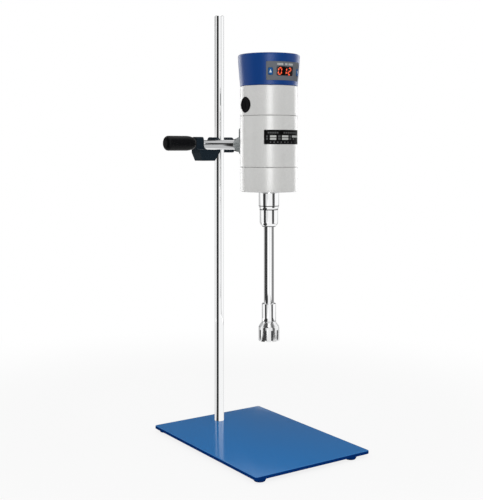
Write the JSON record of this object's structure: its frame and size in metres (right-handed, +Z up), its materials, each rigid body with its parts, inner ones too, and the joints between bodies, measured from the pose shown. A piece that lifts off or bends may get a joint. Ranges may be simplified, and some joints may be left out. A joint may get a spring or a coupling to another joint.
{
  "type": "laboratory homogenizer",
  "caption": "Rotor-stator laboratory homogenizer: upright motor with a control head and a slim dispersing tool, hung by a cross clamp on a round rod over a flat rectangular base plate.",
  "frame": {"origin": "middle of the base plate's underside, at table level", "axes": "+Z up along the support rod, -Y towards the front where the display faces, +X to the right seen from the front"},
  "size_m": [0.214, 0.3, 0.705],
  "materials": {
    "plate_enamel": "glossy blue enamel",
    "chrome": "polished",
    "casting": "dark blue-grey paint on a casting",
    "black_plastic": "satin black",
    "casing_paint": "satin light grey",
    "bracket_grey": "satin mid grey",
    "head_blue": "satin blue",
    "panel_grey": "matte film",
    "window": "dark glossy pane",
    "label_black": "matte film",
    "key_blue": "satin",
    "steel": "machined",
    "aluminium": "die cast",
    "brass": "machined",
    "copper": "copper",
    "carbon": "pressed graphite",
    "circuit_board": "satin",
    "bush_plastic": "smooth"
  },
  "bodies": {
    "base": {"base_plate": "plate_enamel"},
    "rod": {"support_rod": "chrome"},
    "boss": {"boss_head": "casting"},
    "rod_pad": {"rod_clamp_pad": "brass"},
    "rod_handle": {"rod_clamp_screw": "steel", "rod_clamp_handle": "black_plastic"},
    "arm_pad": {"arm_clamp_pad": "brass"},
    "arm_handle": {"arm_clamp_screw": "steel", "arm_clamp_handle": "black_plastic"},
    "arm": {"arm_rod": "chrome"},
    "motor_unit": {"arm_bracket": "bracket_grey", "bracket_screw_1": "steel", "bracket_screw_2": "steel", "bracket_screw_3": "steel", "bracket_screw_4": "steel", "nose_housing": "casing_paint", "motor_shell": "casing_paint", "label_plate": "label_black", "brush_housing": "casing_paint", "control_head": "head_blue", "head_panel": "panel_grey", "display_window": "window", "display_module": "black_plastic", "control_board": "circuit_board", "rocker_frame": "black_plastic", "cable_gland": "black_plastic", "stator_core": "steel", "field_coil_left": "copper", "field_coil_right": "copper", "bearing_bridge": "aluminium", "upper_bearing": "steel", "lower_bearing": "steel", "tie_bolt_1": "steel", "tie_bolt_2": "steel", "brush_holder_left": "brass", "brush_holder_right": "brass", "carbon_brush_left": "carbon", "carbon_brush_right": "carbon", "brush_spring_left": "steel", "brush_spring_right": "steel", "brush_cap_left": "black_plastic", "brush_cap_right": "black_plastic", "coupling_sleeve": "chrome"},
    "up_key": {"up_button": "key_blue"},
    "down_key": {"down_button": "key_blue"},
    "power_key": {"rocker_switch": "black_plastic"},
    "rotor_train": {"motor_shaft": "steel", "cooling_fan": "black_plastic", "armature_core": "steel", "armature_winding": "copper", "commutator": "copper", "drive_coupling": "steel"},
    "tool": {"tool_tube": "chrome", "upper_bush": "bush_plastic", "lower_bush": "bush_plastic", "tool_ferrule": "chrome", "stator_head": "chrome"},
    "collar": {"lock_collar": "chrome"},
    "drive": {"drive_shaft": "steel", "rotor_head": "steel"}
  },
  "joints": [
    {"name": "clamp_swivel", "type": "hinge", "parent": "base", "child": "rod", "pos_m": [0, 0.115, 0.01], "axis": [0, 0, 1], "range_deg": [-180, 180]},
    {"name": "height_slide", "type": "slide", "parent": "rod", "child": "boss", "axis": [0, 0, 1], "range_m": [-0.16, 0.2]},
    {"name": "rod_pad_slide", "type": "slide", "parent": "boss", "child": "rod_pad", "axis": [1, 0, 0], "range_m": [0, 0.0025]},
    {"name": "rod_screw_turn", "type": "hinge", "parent": "rod_pad", "child": "rod_handle", "pos_m": [0.028, 0.115, 0.483], "axis": [1, 0, 0], "range_deg": [0, 720]},
    {"name": "arm_pad_slide", "type": "slide", "parent": "boss", "child": "arm_pad", "axis": [-1, 0, 0], "range_m": [0, 0.0025]},
    {"name": "arm_screw_turn", "type": "hinge", "parent": "arm_pad", "child": "arm_handle", "pos_m": [-0.045, 0.1188, 0.4856], "axis": [-1, 0, 0], "range_deg": [0, 720]},
    {"name": "reach_slide", "type": "slide", "parent": "boss", "child": "arm", "axis": [0, 1, 0], "range_m": [-0.008, 0.055]},
    {"name": "motor_roll", "type": "hinge", "parent": "arm", "child": "motor_unit", "pos_m": [-0.024, 0.05, 0.483], "axis": [0, 1, 0], "range_deg": [-90, 90]},
    {"name": "up_key_press", "type": "slide", "parent": "motor_unit", "child": "up_key", "axis": [0.5373, 0.8434, 0], "range_m": [0, 0.0008], "stiffness_N_per_m": 500, "springref_m": -0.001},
    {"name": "down_key_press", "type": "slide", "parent": "motor_unit", "child": "down_key", "axis": [-0.5373, 0.8434, 0], "range_m": [0, 0.0008], "stiffness_N_per_m": 500, "springref_m": -0.001},
    {"name": "power_rocker", "type": "hinge", "parent": "motor_unit", "child": "power_key", "pos_m": [-0.024, -0.0226, 0.59216], "axis": [1, 0, 0], "range_deg": [0, 16]},
    {"name": "motor_spin", "type": "hinge", "parent": "motor_unit", "child": "rotor_train", "pos_m": [-0.024, -0.0653, 0.5], "axis": [0, 0, 1], "continuous": true},
    {"name": "tool_release", "type": "slide", "parent": "motor_unit", "child": "tool", "axis": [0, 0, -1], "range_m": [0, 0.0045]},
    {"name": "collar_turn", "type": "hinge", "parent": "tool", "child": "collar", "pos_m": [-0.024, -0.0653, 0.37], "axis": [0, 0, -1], "range_deg": [0, 1080]},
    {"name": "drive_spin", "type": "hinge", "parent": "tool", "child": "drive", "pos_m": [-0.024, -0.0653, 0.2], "axis": [0, 0, 1], "continuous": true}
  ],
  "couplings": [
    {"joint": "rod_screw_turn", "follows": "rod_pad_slide", "rad_per_m": 5026.5},
    {"joint": "arm_screw_turn", "follows": "arm_pad_slide", "rad_per_m": 5026.5},
    {"joint": "collar_turn", "follows": "tool_release", "rad_per_m": 4188.7},
    {"joint": "drive_spin", "follows": "motor_spin", "ratio": 1}
  ]
}
